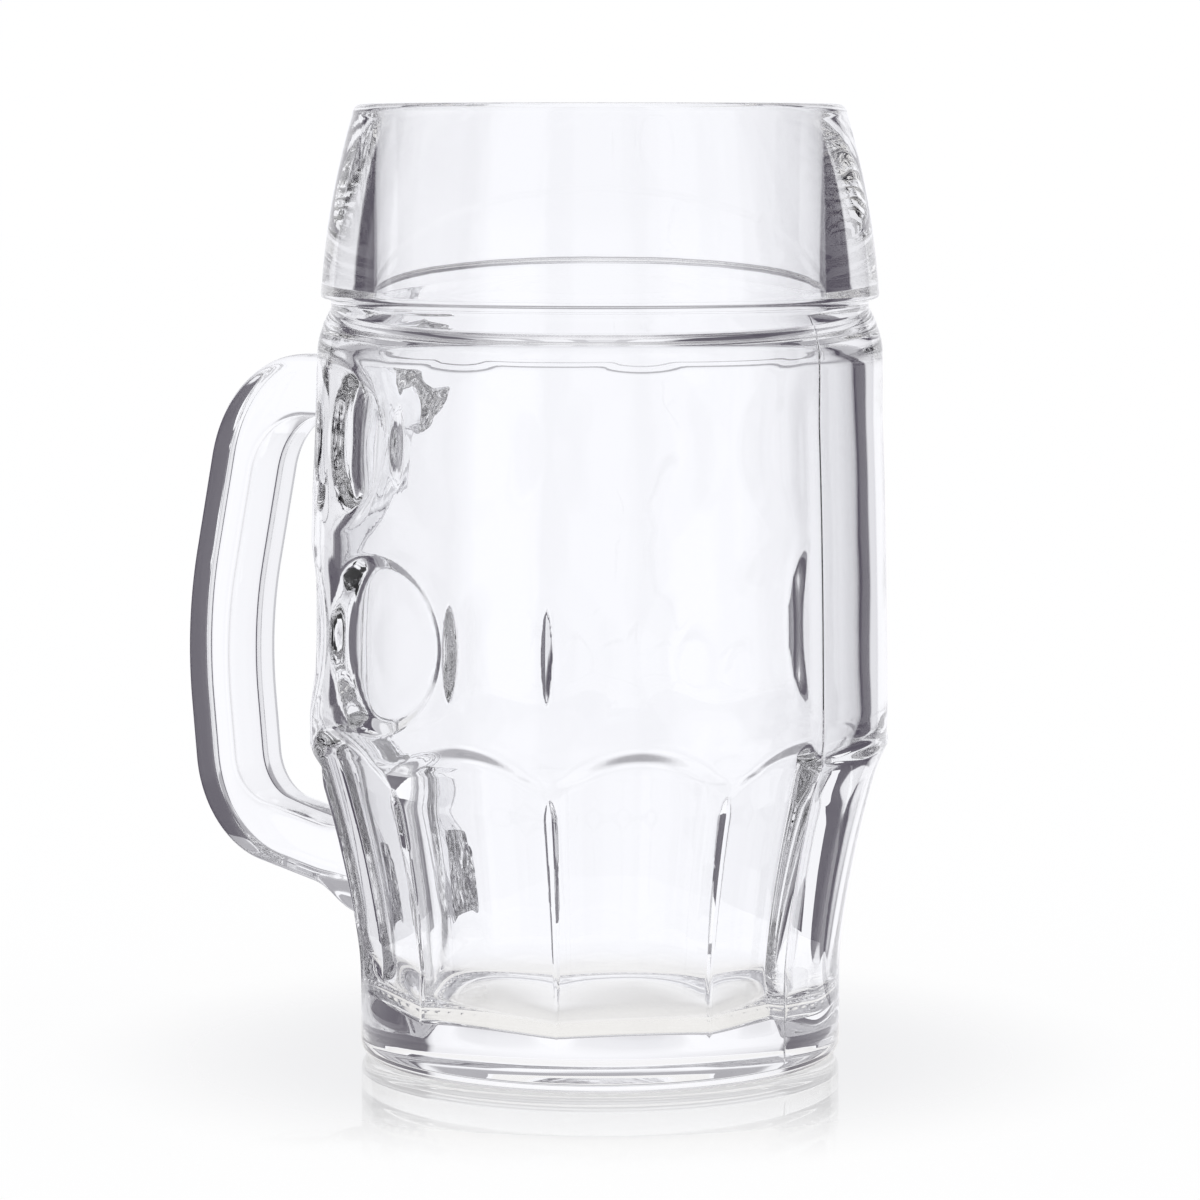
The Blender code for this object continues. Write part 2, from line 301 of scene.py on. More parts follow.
def round_outside(height):
    """Radius of the barrel and of the flutes' ridge line, before anything is pressed in."""
    barrel = np.clip((height - BREAK_HEIGHT) / (BARREL_TOP - BREAK_HEIGHT), 0, 1)
    bowl = np.clip((height - FOOT_HEIGHT) / (BREAK_HEIGHT - FOOT_HEIGHT), 0, 1)
    sweep = FLUTE_SWEEP * bowl + (1 - FLUTE_SWEEP) * bowl * bowl
    foot = FOOT_RADIUS + (BARREL_RADIUS - FOOT_RADIUS) * sweep
    return foot + (BARREL_TOP_RADIUS - BARREL_RADIUS) * barrel * barrel


def plain_share(angle):
    """1 on the half of the body that has no dimples, 0 on the other half."""
    around = angle % (2 * pi)
    return 1 - smooth_step(np.minimum(around / HANDLE_BLEND, (pi - around) / SEAM_BLEND))


def flute_depth(angle, height):
    """How far a flat flute lies inside the ridge line, with an arched top and a bead on each ridge."""
    turn = turn_from_nearest(angle, FLUTE_TURN + FLUTE_HALF_ANGLE, FLUTE_COUNT)
    across = (turn / FLUTE_HALF_ANGLE) ** 2
    plain = plain_share(angle)
    ridge = round_outside(height)
    flat = (ridge - FLUTE_SINK * (1 - plain)) * cos(FLUTE_HALF_ANGLE)
    next_flat = flat / np.cos(2 * FLUTE_HALF_ANGLE - abs(turn))
    edge = FLUTE_RIDGE_ROUND + (FLUTE_PLAIN_ROUND - FLUTE_RIDGE_ROUND) * plain
    depth = ridge - soft_smaller(flat / np.cos(turn), next_flat, edge)
    depth = depth * (1 - FLUTE_PLAIN_LOSS * plain)
    depth = depth - (1 - plain) * flute_bead(ridge * (FLUTE_HALF_ANGLE - abs(turn)), height)
    top = FLUTE_TOP - FLUTE_ARCH * across
    opening = smooth_step((top - height) / (FLUTE_TOP_STEP + (FLUTE_PLAIN_STEP - FLUTE_TOP_STEP) * plain))
    return depth * opening * smooth_step((height - FLUTE_BOTTOM) / FLUTE_BOTTOM_STEP)


def flute_bead(from_ridge, height):
    """Height of the bead on a flute's ridge: round at its top, and narrower downwards."""
    rise = np.clip((height - FLUTE_BEAD_BOTTOM) / (FLUTE_BEAD_TOP - FLUTE_BEAD_BOTTOM), 0, 1)
    end = np.sqrt(np.clip((FLUTE_BEAD_TOP - height) / FLUTE_BEAD_END, 0, 1))
    size = (1 - FLUTE_BEAD_TAPER * (1 - rise)) * end
    inward = 1 - from_ridge / (FLUTE_BEAD_WIDTH / 2 * size + STITCH_GAP)
    return FLUTE_BEAD * size * np.clip(inward / FLUTE_BEAD_FLANK, 0, 1)


def row_depth(angle, height, middle, first, last, press):
    """How far one row of round dimples lies inside the barrel: a crisp or soft rim and a shallow bowl."""
    rim, spread = press
    half_width = BARREL_RADIUS * FLUTE_HALF_ANGLE - DIMPLE_RIDGE / 2
    half_height = ROW_HEIGHT / 2 - DIMPLE_RISE
    turn = turn_from_nearest(angle, first, FLUTE_COUNT)
    from_crisp = abs(angle - turn - DIMPLE_CRISP_TURN)
    soft = smooth_step((from_crisp - DIMPLE_CRISP_REACH) / DIMPLE_SOFT_SPAN)
    soft = np.maximum(soft, smooth_step((DIMPLE_SOFT_TURN - angle) / DIMPLE_SOFT_SPAN))
    across = np.where(angle > last, 0, BARREL_RADIUS * turn / half_width)
    lift = SEAM_LAND_LIFT * smooth_step((angle - last) / SEAM_LAND_LIFT_SPAN)
    away = np.hypot(across, (height - middle - lift) / half_height)
    inward = (1 - away) * half_width + spread
    step = np.clip(inward / (rim + DIMPLE_SOFT_WIDTH * soft), 0, 1)
    step = step + (smooth_step(step) - step) * soft
    depth = DIMPLE_RIM_DEPTH * (1 - DIMPLE_SOFT_LOSS * soft)
    return depth * step + DIMPLE_BOWL_DEPTH * np.maximum(1 - away * away, 0)


def dimple_depth(angle, height, press):
    """Both rows of dimples between the handle and the seam, and the plain half past them."""
    around = angle % (2 * pi)
    plain = plain_share(angle)
    upper_share = smooth_step(np.minimum(around / HANDLE_BLEND, (pi - around) / SEAM_UPPER_BLEND))
    low_middle = ROWS_BOTTOM + ROW_HEIGHT / 2 + DIMPLE_RISE
    high_middle = BARREL_TOP - ROW_HEIGHT / 2 + DIMPLE_RISE
    last_lower = LOWER_ROW_TURN + 2 * FLUTE_HALF_ANGLE * LOWER_ROW_LAST
    lower = row_depth(around, height, low_middle, LOWER_ROW_TURN, last_lower, press)
    upper = row_depth(around, height, high_middle, FLUTE_TURN + FLUTE_HALF_ANGLE, 2 * pi, press)
    bow = np.clip((height - low_middle - SEAM_LAND_LIFT) / (ROW_HEIGHT / 2), -1, 1) ** 2
    land_rim = SEAM_LAND_RIM * (1 - bow) + SEAM_LAND_TIP
    land = np.clip((around - SEAM_LAND_TURN - SEAM_LAND_BOW * bow) / land_rim, 0, 1)
    plain_drop = PLAIN_DROP * smooth_step((BARREL_TOP - height) / PLAIN_FADE)
    pressed = (1 - plain) * (1 - land) * lower + upper_share * upper + plain * plain_drop
    return pressed * smooth_step((height - BREAK_HEIGHT) / ROWS_RISE)


def waves(angle, height, seed):
    """Faint unevenness that fire-polished glass keeps, as a sum of waves that close round the body."""
    draw = np.random.default_rng(seed)
    total = np.zeros(np.broadcast(angle, height).shape)
    for _ in range(WAVE_COUNT):
        around = draw.integers(WAVE_LEAST_LOBES, WAVE_LOBES_END)
        along = draw.uniform(-1, 1) * 2 * pi / WAVE_LENGTH
        start = draw.uniform(0, 2 * pi)
        pace = np.hypot(around / BARREL_RADIUS, along)
        total += np.cos(around * angle + along * height + start) / pace
    return WAVE_SLOPE * total / np.sqrt(WAVE_COUNT / 2)


def mould_marks(angle, height):
    """Raised lines at the mould's seam and at the foot's parting line, and two blisters."""
    seam = abs(angle - pi) * BARREL_RADIUS
    below_collar = smooth_step((GROOVE_BOTTOM - height) / SHOULDER_HEIGHT)
    rib = SEAM_RIB_HEIGHT * bell(seam, SEAM_RIB_WIDTH) * below_collar
    line = MOULD_LINE_RIB * bell(height - MOULD_LINE_HEIGHT, MOULD_LINE_WIDTH)
    along = np.clip(2 * (height - BLISTER_HEIGHT) / BLISTER_LENGTH, -1, 1)
    long = np.sqrt(1 - along * along)
    blister = 0
    for turn, width in BLISTERS:
        from_edge = width / 2 * long - abs(angle - turn) * BARREL_RADIUS
        blister = blister + BLISTER_SLOPE * np.maximum(from_edge, 0)
    return np.maximum(rib, line) + blister


def outside_radius(angle, height):
    """Outside radius from the foot up to the barrel's top, with the pattern and the mould's marks."""
    pressed = round_outside(height) - flute_depth(angle, height)
    pressed = pressed - dimple_depth(angle, height, (DIMPLE_RIM_WIDTH, 0))
    return pressed + mould_marks(angle, height) + waves(angle, height, OUTSIDE_SEED)


def wall(height):
    """Wall between the ridge line and the inside: thick in the bowl, thinner in the barrel."""
    share = smooth_step((height - BREAK_HEIGHT) / WALL_BLEND + 0.5)
    return BOWL_WALL + (BARREL_WALL - BOWL_WALL) * share


def inside_radius(angle, height):
    """Radius of the hollow below the neck's ledge, which follows the dimples softly."""
    neck = np.clip((height - NECK_BOTTOM) / NECK_HEIGHT, 0, 1)
    ledge = MOUTH_RADIUS + LEDGE_ROUND
    low = smooth_step((height - BREAK_HEIGHT) / WALL_BLEND)
    below = round_outside(height) - wall(height)
    bulge = dimple_depth(angle, height, (DIMPLE_INSIDE_RIM, DIMPLE_INSIDE_SPREAD))
    below = below - DIMPLE_INSIDE_SHARE * low * bulge
    uneven = (1 - neck) * waves(angle, height, INSIDE_SEED)
    return ledge + (below - ledge) * np.sqrt(1 - neck * neck) + uneven


def arc(centre, radius, start, end, steps):
    """Points (radius, height) on an arc, both ends included."""
    turns = np.linspace(start, end, steps + 1)
    return [(centre[0] + radius * cos(turn), centre[1] + radius * sin(turn)) for turn in turns]


def steps_between(low, high, step):
    """Evenly spaced heights inside a span, without its ends."""
    count = max(int(abs(high - low) / step), 2)
    return np.linspace(low, high, count + 1)[1:-1]


def column_angles():
    """Angles of the mesh's columns: even, and closer at the seam, blisters, ridges and dimples' edges."""
    angles = list(np.linspace(0, 2 * pi, COLUMNS, endpoint=False))
    fine = [(pi, SEAM_RIB_WIDTH)] + BLISTERS
    for number in range(FLUTE_COUNT // 2):
        turn = 2 * FLUTE_HALF_ANGLE * number
        fine += [(FLUTE_TURN + turn, FINE_REACH), (LOWER_ROW_TURN + FLUTE_HALF_ANGLE + turn, FINE_REACH)]
    for middle, width in fine:
        spread = width / BARREL_RADIUS * np.linspace(-1, 1, FINE_COLUMNS)
        angles += list((middle + spread) % (2 * pi))
    return np.unique(np.round(angles, ANGLE_DIGITS))


def even_row(angles, radius, height):
    """Row of the body's mesh with one radius and one height all round."""
    return np.full(len(angles), radius), np.full(len(angles), height)


def underside_rows(angles):
    """Recess and notched bearing ring, from the middle out to the foot's edge."""
    rows = []
    for share in np.linspace(RECESS_FIRST_SHARE, 1, DISC_ROWS):
        rows.append(even_row(angles, RECESS_RADIUS * share, RECESS_DEPTH * (1 - share ** RECESS_POWER)))
    ring_out = FOOT_RADIUS - FOOT_ROUND
    notch = bell(turn_from_nearest(angles, 0, NOTCH_COUNT), pi / NOTCH_COUNT)
    for radius in np.linspace(RECESS_RADIUS, ring_out, RING_ROWS)[1:-1]:
        across = sin(pi * (radius - RECESS_RADIUS) / (ring_out - RECESS_RADIUS))
        rows.append((np.full(len(angles), radius), NOTCH_DEPTH * across * notch))
    return rows


def outside_rows(angles):
    """Foot, flutes and dimpled barrel, up to the barrel's top."""
    corner = (FOOT_RADIUS - FOOT_ROUND, FOOT_ROUND)
    rows = [even_row(angles, radius, height)
            for radius, height in arc(corner, FOOT_ROUND, -pi / 2, 0, ARC_STEPS)[:-1]]
    for height in steps_between(FOOT_ROUND, BARREL_TOP + PATTERN_STEP, PATTERN_STEP):
        share = smooth_step((height - FOOT_ROUND) / FOOT_ROUND)
        radius = outside_radius(angles, height)
        rows.append((FOOT_RADIUS + (radius - FOOT_RADIUS) * share, np.full(len(angles), height)))
    return rows


def collar_points():
    """Profile of the shoulder, the groove, the collar and the lip."""
    points = []
    for share in np.linspace(0, 1, SHOULDER_ROWS)[1:]:
        drop = SHOULDER_SWEEP * share + (1 - SHOULDER_SWEEP) * share * share
        radius = BARREL_TOP_RADIUS + (GROOVE_RADIUS - BARREL_TOP_RADIUS) * drop
        points.append((radius, BARREL_TOP + SHOULDER_HEIGHT * share))
    edge = COLLAR_EDGE_ROUND
    points += arc((GROOVE_RADIUS + edge, COLLAR_BOTTOM - edge), edge, pi, pi / 2, ARC_STEPS // 2)[1:]
    points += arc((COLLAR_RADIUS - edge, COLLAR_BOTTOM + edge), edge, -pi / 2, 0, ARC_STEPS // 2)
    lip_centre = (RIM_RADIUS - LIP_RADIUS, BODY_TOP - LIP_RADIUS)
    for height in steps_between(COLLAR_BOTTOM + edge, lip_centre[1], PLAIN_STEP):
        share = (height - COLLAR_BOTTOM) / (lip_centre[1] - COLLAR_BOTTOM)
        drop = COLLAR_SWEEP * share + (1 - COLLAR_SWEEP) * share * share
        points.append((COLLAR_RADIUS + (RIM_RADIUS - COLLAR_RADIUS) * drop, height))
    return points + arc(lip_centre, LIP_RADIUS, 0, pi, 2 * ARC_STEPS)


def collar_rows(angles):
    """Shoulder, groove, collar and lip; the seam's rib and the waves end where the groove starts."""
    rows = []
    for radius, height in collar_points():
        wave = 1 - smooth_step((height - BARREL_TOP) / SHOULDER_HEIGHT)
        uneven = mould_marks(angles, height) + wave * waves(angles, height, OUTSIDE_SEED)
        rows.append((radius + uneven, np.full(len(angles), height)))
    return rows


def inside_rows(angles):
    """Hollow from below the lip to the middle of the floor."""
    low = FLOOR_HEIGHT + FLOOR_CORNER
    points = [(MOUTH_RADIUS, height)
              for height in steps_between(BODY_TOP - LIP_RADIUS, NECK_TOP + LEDGE_ROUND, PLAIN_STEP)]
    ledge_centre = (MOUTH_RADIUS + LEDGE_ROUND, NECK_TOP + LEDGE_ROUND)
    points += arc(ledge_centre, LEDGE_ROUND, pi, 1.5 * pi, ARC_STEPS // 2)
    rows = [even_row(angles, radius, height) for radius, height in points]
    ceiling = NECK_BOTTOM + NECK_HEIGHT * np.sin(np.linspace(pi / 2, 0, NECK_ROWS))[1:]
    for height in list(ceiling) + list(steps_between(NECK_BOTTOM, low, INSIDE_STEP)) + [low]:
        rows.append((inside_radius(angles, height), np.full(len(angles), height)))
    end = rows[-1][0]
    for turn in np.linspace(0, pi / 2, ARC_STEPS)[1:]:
        radius = end - FLOOR_CORNER * (1 - cos(turn))
        rows.append((radius, np.full(len(angles), low - FLOOR_CORNER * sin(turn))))
    edge = rows[-1][0]
    for share in np.linspace(1, FLOOR_LAST_SHARE, DISC_ROWS)[1:]:
        dome = FLOOR_HEIGHT + FLOOR_DOME * (1 - share * share)
        rows.append((edge * share, np.full(len(angles), dome)))
    return rows


def mesh_object(name, points, faces, material):
    """New object with smooth faces of one material."""
    mesh = bpy.data.meshes.new(name)
    mesh.from_pydata(points, [], faces)
    mesh.materials.append(material)
    mesh.update()
    mesh.shade_smooth()
    thing = bpy.data.objects.new(name, mesh)
    bpy.context.scene.collection.objects.link(thing)
    return thing


def loop_faces(first, second, count):
    """Four-sided faces between two closed rows of points."""
    steps = np.arange(count)
    ahead = (steps + 1) % count
    return np.stack([first + steps, first + ahead, second + ahead, second + steps], axis=1).tolist()


def body_shape(material):
    """The closed body: rows of points from the recess's middle, over the lip, to the floor's middle."""
    angles = column_angles()
    rows = underside_rows(angles) + outside_rows(angles) + collar_rows(angles) + inside_rows(angles)
    count = len(angles)
    points = [np.stack([radius * np.cos(angles), radius * np.sin(angles), height], axis=1)
              for radius, height in rows]
    ends = np.array([(0, 0, RECESS_DEPTH), (0, 0, FLOOR_HEIGHT + FLOOR_DOME)])
    faces = []
    for row in range(len(rows) - 1):
        faces += loop_faces(row * count, (row + 1) * count, count)
    last = (len(rows) - 1) * count
    middle = len(rows) * count
    for step in range(count):
        ahead = (step + 1) % count
        faces.append((step, middle, ahead))
        faces.append((last + step, last + ahead, middle + 1))
    return mesh_object("mug_body_glass", np.concatenate(points + [ends]).tolist(), faces, material)


def rounded_corner(before, corner, after, radius):
    """Points of the arc that rounds one corner of a path."""
    back = (before - corner).normalized()
    ahead = (after - corner).normalized()
    half = back.angle(ahead) / 2
    middle = corner + (back + ahead).normalized() * (radius / sin(half))
    start = corner + back * (radius / tan(half)) - middle
    end = corner + ahead * (radius / tan(half)) - middle
    whole = start.angle(end)
    turns = np.linspace(0, whole, max(int(radius * whole / HANDLE_STEP), ARC_STEPS))
    return [middle + (start * sin(whole - turn) + end * sin(turn)) / sin(whole) for turn in turns]


def handle_path():
    """Centre line of the handle in the XZ plane, in even steps from its upper root to its lower one."""
    top = BARREL_TOP - HANDLE_TOP_DROP
    slope = HANDLE_FOOT_RISE / (HANDLE_BOTTOM_CORNER - HANDLE_SOLID_ROOT)
    foot = HANDLE_FOOT_HEIGHT + slope * (HANDLE_FOOT_ROOT - HANDLE_SOLID_ROOT)
    corners = [Vector((HANDLE_TOP_ROOT, 0, top)), Vector((HANDLE_TOP_CORNER, 0, top)),
               Vector((HANDLE_REACH, 0, HANDLE_REACH_HEIGHT)),
               Vector((HANDLE_BOTTOM_CORNER, 0, HANDLE_FOOT_HEIGHT + HANDLE_FOOT_RISE)),
               Vector((HANDLE_FOOT_ROOT, 0, foot))]
    bends = [HANDLE_TOP_BEND, HANDLE_GRIP_BEND, HANDLE_BOTTOM_BEND]
    path = [corners[0]]
    for number, bend in enumerate(bends):
        path += rounded_corner(corners[number], corners[number + 1], corners[number + 2], bend)
    path.append(corners[-1])
    even = [path[0]]
    for place in path[1:]:
        gap = (place - even[-1]).length
        start = even[-1]
        pieces = max(round(gap / HANDLE_STEP), 1)
        even += [start.lerp(place, step / pieces) for step in range(1, pieces + 1)]
    return even


def handle_shape(material):
    """The closed handle: a boxy section swept along its path, ragged and flared where it enters the wall."""
    stations = handle_path()
    turns = np.linspace(0, 2 * pi, SECTION_POINTS, endpoint=False)
    over = np.sign(np.cos(turns)) * abs(np.cos(turns)) ** (2 / HANDLE_POWER) * HANDLE_DEPTH / 2
    side = np.sign(np.sin(turns)) * abs(np.sin(turns)) ** (2 / HANDLE_POWER) * HANDLE_WIDTH / 2
    ragged = HANDLE_RAGGED * np.sin(HANDLE_RAGGED_LOBES * turns + HANDLE_RAGGED_START)
    points = []
    for number, place in enumerate(stations):
        before = stations[max(number - 1, 0)]
        after = stations[min(number + 1, len(stations) - 1)]
        ahead = (after - before).normalized()
        normal = np.array((ahead.z, 0, -ahead.x))
        outside = (place.x - BARREL_RADIUS) / HANDLE_FLARE_LENGTH
        flare = HANDLE_TOP_FLARE if place.z > HANDLE_REACH_HEIGHT else HANDLE_FOOT_FLARE
        swell = 1 + (flare + ragged) * (1 - float(smooth_step(outside)))
        ring = np.outer(over * swell, normal) + np.outer(side * swell, (0, 1, 0)) + np.array(place)
        points.append(ring)
    count = SECTION_POINTS
    faces = []
    for row in range(len(points) - 1):
        faces += loop_faces(row * count, (row + 1) * count, count)
    last = (len(points) - 1) * count
    faces.append(list(range(count))[::-1])
    faces.append(list(range(last, last + count)))
    return mesh_object("handle_glass", np.concatenate(points).tolist(), faces, material)


def joined(first, second, operation):
    """Mesh of two closed shapes combined: points, faces, and for each face whether it is the first's."""
    blend = first.modifiers.new("join", "BOOLEAN")
    blend.operation = operation
    blend.solver = "MANIFOLD"
    blend.object = second
    blend.material_mode = "TRANSFER"
    seen = first.evaluated_get(bpy.context.evaluated_depsgraph_get())
    mesh = seen.to_mesh()
    points = np.zeros(len(mesh.vertices) * 3)
    mesh.vertices.foreach_get("co", points)
    slots = np.zeros(len(mesh.polygons), int)
    mesh.polygons.foreach_get("material_index", slots)
    own = first.data.materials[0].name
    is_first = np.array([material.name == own for material in mesh.materials])[slots]
    faces = [tuple(face.vertices) for face in mesh.polygons]
    seen.to_mesh_clear()
    first.modifiers.remove(blend)
    return points.reshape(-1, 3), faces, is_first


def stitched(name, groups, materials):
    """One closed mesh from groups of faces, each with its points and the slot it takes."""
    points = []
    faces = []
    slots = []
    for source, group, slot in groups:
        first = len(points)
        used = np.unique(np.concatenate([np.array(face) for face in group]))
        place = dict(zip(used.tolist(), range(first, first + len(used))))
        points += source[used].tolist()
        faces += [[place[number] for number in face] for face in group]
        slots += [slot] * len(group)
    thing = mesh_object(name, points, faces, materials[0])
    thing.data.materials.append(materials[1])
    thing.data.polygons.foreach_set("material_index", slots)
    shape = bmesh.new()
    shape.from_mesh(thing.data)
    bmesh.ops.remove_doubles(shape, verts=shape.verts, dist=STITCH_GAP)
    shape.to_mesh(thing.data)
    shape.free()
    thing.data.set_sharp_from_angle(angle=SHARP_ANGLE)
    return thing


def fuse(body, handle, weld):
    """Cuts the handle off at the body's surface and marks the two fused places on both."""
    body_glass = body.data.materials[0]
    handle_glass = handle.data.materials[0]
    points, faces, is_body = joined(body, handle, "UNION")
    body_skin = [face for face, own in zip(faces, is_body) if own]
    handle_skin = [face for face, own in zip(faces, is_body) if not own]
    pad_points, pad_faces, is_pad = joined(body, handle, "INTERSECT")
    pads = [face for face, own in zip(pad_faces, is_pad) if own]
    flipped = [tuple(reversed(face)) for face in pads]
    for rough in (body, handle):
        bpy.data.objects.remove(rough)
    new_body = stitched("mug_body_glass", [(points, body_skin, 0), (pad_points, pads, 1)], [body_glass, weld])
    new_handle = stitched("handle_glass", [(points, handle_skin, 0), (pad_points, flipped, 1)],
                          [handle_glass, weld])
    return new_body, new_handle


def new_material(name):
    """Material with a node tree; gives the material, its nodes, its links and its main shader."""
    material = bpy.data.materials.new(name)
    material.use_nodes = True
    tree = material.node_tree
    return material, tree.nodes, tree.links, tree.nodes["Principled BSDF"]


def clear_glass(name):
    """Clear soda-lime glass with a fine unevenness left by the mould."""
    material, nodes, links, shader = new_material(name)
    shader.inputs["Base Color"].default_value = (*GLASS_TINT, 1)
    shader.inputs["Roughness"].default_value = 0
    shader.inputs["IOR"].default_value = GLASS_IOR
    shader.inputs["Transmission Weight"].default_value = 1
    place = nodes.new("ShaderNodeTexCoord")
    grain = nodes.new("ShaderNodeTexNoise")
    grain.inputs["Scale"].default_value = GRAIN_SCALE
    grain.inputs["Detail"].default_value = GRAIN_DETAIL
    links.new(place.outputs["Object"], grain.inputs["Vector"])
    bump = nodes.new("ShaderNodeBump")
    bump.inputs["Strength"].default_value = GRAIN_STRENGTH
    bump.inputs["Distance"].default_value = GRAIN_DEPTH
    links.new(grain.outputs["Fac"], bump.inputs["Height"])
    links.new(bump.outputs["Normal"], shader.inputs["Normal"])
    return material


def fused_joint(name):
    """The fused places: see-through, with the grey folds that chilled glass keeps."""
    material, nodes, links, shader = new_material(name)
    shader.inputs["Base Color"].default_value = (*FOLD_COLOUR, 1)
    shader.inputs["Roughness"].default_value = FOLD_ROUGHNESS
    place = nodes.new("ShaderNodeTexCoord")
    fold = nodes.new("ShaderNodeTexNoise")
    fold.inputs["Scale"].default_value = FOLD_SCALE
    fold.inputs["Detail"].default_value = FOLD_DETAIL
    fold.inputs["Distortion"].default_value = FOLD_DISTORTION
    links.new(place.outputs["Object"], fold.inputs["Vector"])
    ramp = nodes.new("ShaderNodeMapRange")
    ramp.inputs["From Min"].default_value = FOLD_FROM
    ramp.inputs["From Max"].default_value = FOLD_TO
    ramp.inputs["To Max"].default_value = FOLD_COVER
    links.new(fold.outputs["Fac"], ramp.inputs["Value"])
    links.new(ramp.outputs["Result"], shader.inputs["Alpha"])
    return material


def math_node(nodes, links, operation, first, second=None):
    """Math node; an input is a number or another node's output."""
    node = nodes.new("ShaderNodeMath")
    node.operation = operation
    for slot, value in enumerate((first, second)):
        if isinstance(value, (int, float)):
            node.inputs[slot].default_value = value
        elif value is not None:
            links.new(value, node.inputs[slot])
    return node.outputs[0]


def ramp_node(nodes, links, value, stops):
    """Colour ramp; each stop is a place from 0 to 1 and a tone."""
    ramp = nodes.new("ShaderNodeValToRGB")
    ramp.color_ramp.interpolation = "EASE"
    links.new(value, ramp.inputs[0])
    elements = ramp.color_ramp.elements
    for spot, (place, tone) in zip(elements, (stops[0], stops[-1])):
        spot.position = place
        spot.color = (tone, tone, tone, 1)
    for place, tone in stops[1:-1]:
        elements.new(place).color = (tone, tone, tone, 1)
    return ramp.outputs["Color"]


def strip_node(nodes, links, around, middle):
    """Tone of one upright strip: grey near its middle, white away from it."""
    away = math_node(nodes, links, "SUBTRACT", around, middle)
    near = math_node(nodes, links, "COSINE", away)
    edge = nodes.new("ShaderNodeMapRange")
    edge.interpolation_type = "SMOOTHSTEP"
    edge.inputs["From Min"].default_value = cos(STRIP_HALF_WIDTH + STRIP_SOFT)
    edge.inputs["From Max"].default_value = cos(STRIP_HALF_WIDTH - STRIP_SOFT)
    edge.inputs["To Min"].default_value = 1
    edge.inputs["To Max"].default_value = STRIP_TONE
    links.new(near, edge.inputs["Value"])
    return edge.outputs["Result"]


def studio_world():
    """A bright backdrop behind the mug, dark flags beside it, grey above it and in strips, else white."""
    world = bpy.data.worlds.new("studio")
    bpy.context.scene.world = world
    world.use_nodes = True
    nodes = world.node_tree.nodes
    links = world.node_tree.links
    nodes.clear()
    place = nodes.new("ShaderNodeTexCoord")
    split = nodes.new("ShaderNodeSeparateXYZ")
    links.new(place.outputs["Generated"], split.inputs[0])
    around = math_node(nodes, links, "ARCTAN2", split.outputs["Y"], split.outputs["X"])
    aside = math_node(nodes, links, "SUBTRACT", around, BACKGROUND_TURN)
    aside = math_node(nodes, links, "ADD", math_node(nodes, links, "DIVIDE", aside, 2 * pi), 0.5)
    beside = ramp_node(nodes, links, math_node(nodes, links, "FRACT", aside), BESIDE_TONES)
    rise = math_node(nodes, links, "DIVIDE", math_node(nodes, links, "ARCSINE", split.outputs["Z"]), pi)
    rise = math_node(nodes, links, "ADD", rise, 0.5)
    light = math_node(nodes, links, "MINIMUM", beside, ramp_node(nodes, links, rise, ABOVE_TONES))
    for middle in STRIP_TURNS:
        light = math_node(nodes, links, "MINIMUM", light, strip_node(nodes, links, around, middle))
    rays = nodes.new("ShaderNodeLightPath")
    plain = math_node(nodes, links, "MAXIMUM", rays.outputs["Is Camera Ray"], rays.outputs["Is Diffuse Ray"])
    light = math_node(nodes, links, "MAXIMUM", light, plain)
    tint = nodes.new("ShaderNodeMix")
    tint.data_type = "RGBA"
    tint.inputs["A"].default_value = (*FLAG_COLOUR, 1)
    tint.inputs["B"].default_value = (*BACKDROP_COLOUR, 1)
    links.new(light, tint.inputs["Factor"])
    background = nodes.new("ShaderNodeBackground")
    links.new(tint.outputs["Result"], background.inputs["Color"])
    output = nodes.new("ShaderNodeOutputWorld")
    links.new(background.outputs[0], output.inputs["Surface"])


def flat_disc(name, reaches, drop, material):
    """Flat stage piece just under the foot; its reach goes by degrees from the backdrop's middle."""
    asides, radii = np.array(reaches).T
    points = []
    for aside in range(-180, 180, DISC_STEP):
        radius = np.interp(aside, asides, radii)
        turn = BACKGROUND_TURN + radians(aside)
        points.append((radius * cos(turn), radius * sin(turn), -drop))
    disc = mesh_object(name, points, [list(range(len(points)))], material)
    disc.visible_shadow = False
    return disc


def bare_material(name):
    """Material without a shader; gives the material, its nodes, its links and its output's input."""
    material = bpy.data.materials.new(name)
    material.use_nodes = True
    nodes = material.node_tree.nodes
    nodes.clear()
    output = nodes.new("ShaderNodeOutputMaterial")
    return material, nodes, material.node_tree.links, output.inputs["Surface"]


def lit_white(nodes, links, colour):
    """White that mostly glows, in a colour or a node's output, and takes a faint shadow."""
    matt = nodes.new("ShaderNodeBsdfDiffuse")
    matt.inputs["Color"].default_value = (SHADOW_SHARE, SHADOW_SHARE, SHADOW_SHARE, 1)
    glow = nodes.new("ShaderNodeEmission")
    if isinstance(colour, tuple):
        glow.inputs["Color"].default_value = (*colour, 1)
    else:
        links.new(colour, glow.inputs["Color"])
    glow.inputs["Strength"].default_value = 1 - SHADOW_SHARE
    white = nodes.new("ShaderNodeAddShader")
    links.new(matt.outputs[0], white.inputs[0])
    links.new(glow.outputs[0], white.inputs[1])
    return white.outputs[0]


def fade_outwards(nodes, links, start, end, share):
    """A share round the foot that fades to nothing between two radii."""
    place = nodes.new("ShaderNodeNewGeometry")
    reach = nodes.new("ShaderNodeVectorMath")
    reach.operation = "LENGTH"
    links.new(place.outputs["Position"], reach.inputs[0])
    fade = nodes.new("ShaderNodeMapRange")
    fade.interpolation_type = "SMOOTHSTEP"
    fade.inputs["From Min"].default_value = end
    fade.inputs["From Max"].default_value = start
    fade.inputs["To Max"].default_value = share
    links.new(reach.outputs["Value"], fade.inputs["Value"])
    return fade.outputs["Result"]


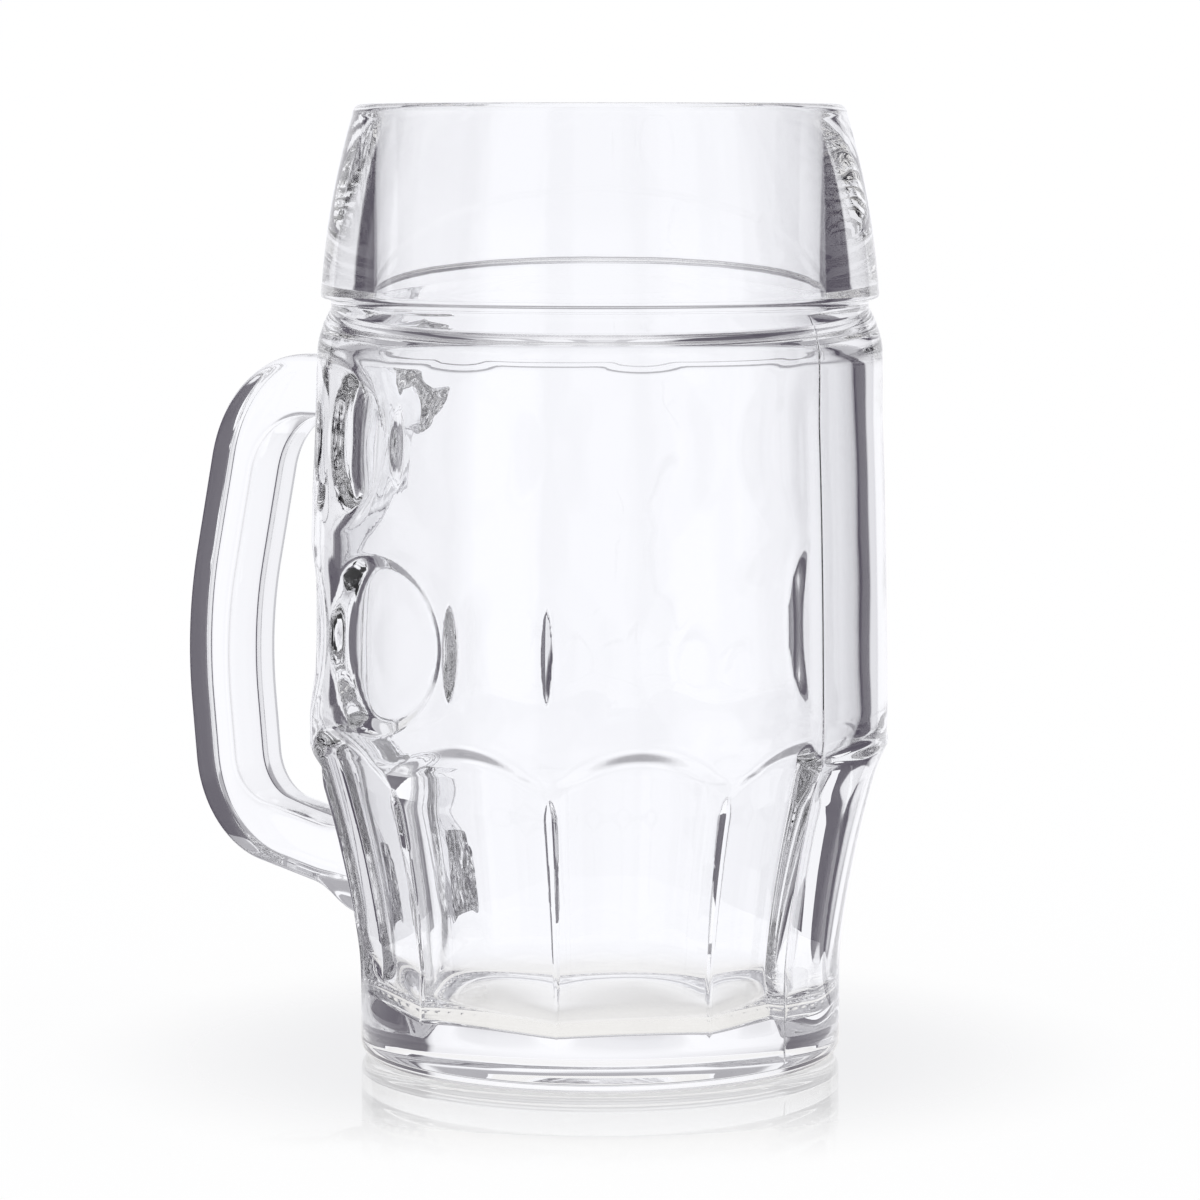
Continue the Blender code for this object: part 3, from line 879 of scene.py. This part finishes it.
def white_floor():
    """Pale floor with a gloss round the foot that fades outwards; the glass doesn't show it."""
    material, nodes, links, surface = bare_material("floor_white")
    gloss = nodes.new("ShaderNodeBsdfGlossy")
    gloss.inputs["Roughness"].default_value = GLOSS_ROUGHNESS
    mix = nodes.new("ShaderNodeMixShader")
    links.new(fade_outwards(nodes, links, GLOSS_START, GLOSS_END, GLOSS_SHARE), mix.inputs[0])
    links.new(lit_white(nodes, links, (1, 1, 1)), mix.inputs[1])
    links.new(gloss.outputs[0], mix.inputs[2])
    links.new(mix.outputs[0], surface)
    wide = flat_disc("floor", FLOOR_REACHES, FLOOR_DROP, material)
    wide.visible_transmission = False
    wide.visible_glossy = False


def white_table():
    """The part of the floor that the glass shows, with a painted shade round the foot that stands in for the
    mug's shadow.
    """
    material, nodes, links, surface = bare_material("table_white")
    shade = nodes.new("ShaderNodeMix")
    shade.data_type = "RGBA"
    shade.inputs["A"].default_value = (*BACKDROP_COLOUR, 1)
    shade.inputs["B"].default_value = (*TABLE_SHADE, 1)
    # Painted shade: the glow is mixed towards the darker colour near the foot
    links.new(fade_outwards(nodes, links, SHADE_START, SHADE_END, 1), shade.inputs["Factor"])
    links.new(lit_white(nodes, links, shade.outputs["Result"]), surface)
    near = flat_disc("table", TABLE_REACHES, 2 * FLOOR_DROP, material)
    near.visible_camera = False
    near.visible_diffuse = False


def photo_camera():
    """Camera at the photograph's viewing angle."""
    camera = bpy.data.cameras.new("photo_camera")
    camera.sensor_width = SENSOR_WIDTH
    camera.lens = FOCAL_PIXELS / PHOTO_PIXELS * SENSOR_WIDTH
    thing = bpy.data.objects.new("photo_camera", camera)
    bpy.context.scene.collection.objects.link(thing)
    thing.location = (VIEW_DISTANCE * cos(VIEW_TURN), VIEW_DISTANCE * sin(VIEW_TURN), EYE_HEIGHT)
    thing.rotation_euler = (pi / 2 - VIEW_PITCH, 0, VIEW_TURN + pi / 2)
    bpy.context.scene.camera = thing


photo_camera()
studio_world()
white_floor()
white_table()
body_piece, handle_piece = fuse(body_shape(clear_glass("body_glass_look")),
                                handle_shape(clear_glass("handle_glass_look")),
                                fused_joint("fused_joint_look"))
for piece, node, slot in ((body_piece, "mug_body", "body_glass"), (handle_piece, "handle", "handle_glass")):
    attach(piece, "root")
    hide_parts(node)

scene = bpy.context.scene
scene.view_settings.view_transform = "Standard"
scene.cycles.max_bounces = GLASS_BOUNCES
scene.cycles.transmission_bounces = GLASS_BOUNCES
scene.cycles.glossy_bounces = GLOSS_BOUNCES
scene.cycles.transparent_max_bounces = CLEAR_BOUNCES
